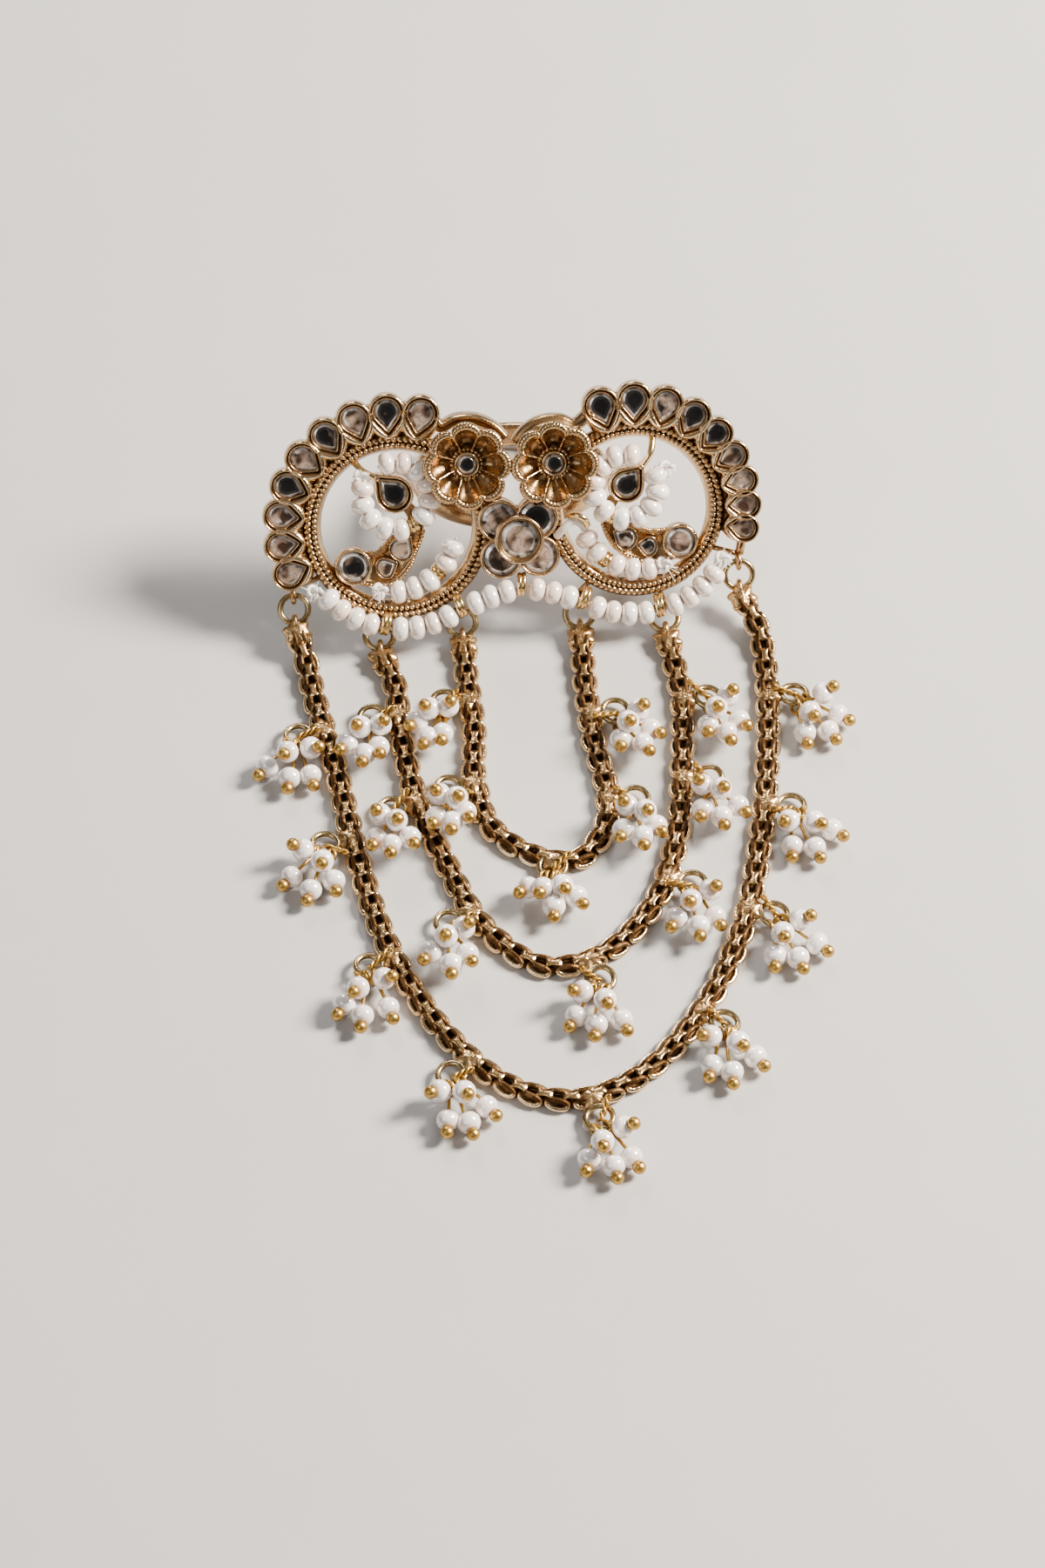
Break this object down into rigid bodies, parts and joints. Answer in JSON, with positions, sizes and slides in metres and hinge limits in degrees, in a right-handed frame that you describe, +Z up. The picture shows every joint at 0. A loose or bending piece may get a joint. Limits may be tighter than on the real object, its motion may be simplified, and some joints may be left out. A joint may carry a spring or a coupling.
{
  "type": "statement finger ring with bead chains",
  "caption": "Antique-gold statement finger ring with two stone-set openwork circles, rosettes and a flower, strung with seed beads and three chains carrying bead bunches, lying on a surface.",
  "frame": {"origin": "the middle of the outline on the surface that the ring lies on", "axes": "+Y from the chains to the finger band, +Z up from the surface, +X to the right as seen from the chains"},
  "size_m": [0.0574, 0.0874, 0.0199],
  "materials": {
    "antique_gold": "antique gold plate, bright on the high parts, dark in the recesses",
    "chain_gold": "dark antique gold plate",
    "ring_wire": "pale gold wire, polished",
    "mirror_stone": "foil-backed clear stone, polished",
    "bead": "cream pearl coating, glossy"
  },
  "bodies": {
    "root": {"ring_frame": "antique_gold", "flower_stone": "mirror_stone", "rim_stone_left_1": "mirror_stone", "rim_stone_left_2": "mirror_stone", "rim_stone_left_3": "mirror_stone", "rim_stone_left_4": "mirror_stone", "rim_stone_left_5": "mirror_stone", "rim_stone_left_6": "mirror_stone", "rim_stone_left_7": "mirror_stone", "rim_stone_left_8": "mirror_stone", "rim_stone_left_9": "mirror_stone", "rosette_stone_left": "mirror_stone", "pearl_stone_left": "mirror_stone", "pearl_loop_left": "bead", "bead_row_left": "bead", "rim_stone_right_1": "mirror_stone", "rim_stone_right_2": "mirror_stone", "rim_stone_right_3": "mirror_stone", "rim_stone_right_4": "mirror_stone", "rim_stone_right_5": "mirror_stone", "rim_stone_right_6": "mirror_stone", "rim_stone_right_7": "mirror_stone", "rim_stone_right_8": "mirror_stone", "rim_stone_right_9": "mirror_stone", "rosette_stone_right": "mirror_stone", "pearl_stone_right": "mirror_stone", "pearl_loop_right": "bead", "bead_row_right": "bead", "bead_garland": "bead", "end_ring_outer_left": "ring_wire", "end_ring_outer_right": "ring_wire", "chain_outer": "chain_gold", "drop_outer_1": "bead", "drop_outer_2": "bead", "drop_outer_3": "bead", "drop_outer_4": "bead", "drop_outer_5": "bead", "drop_outer_6": "bead", "drop_outer_7": "bead", "drop_outer_8": "bead", "drop_outer_9": "bead", "end_ring_middle_left": "ring_wire", "end_ring_middle_right": "ring_wire", "chain_middle": "chain_gold", "drop_middle_1": "bead", "drop_middle_2": "bead", "drop_middle_3": "bead", "drop_middle_4": "bead", "drop_middle_5": "bead", "drop_middle_6": "bead", "drop_middle_7": "bead", "end_ring_inner_left": "ring_wire", "end_ring_inner_right": "ring_wire", "chain_inner": "chain_gold", "drop_inner_1": "bead", "drop_inner_2": "bead", "drop_inner_3": "bead", "drop_inner_4": "bead", "drop_inner_5": "bead"}
  },
  "joints": []
}
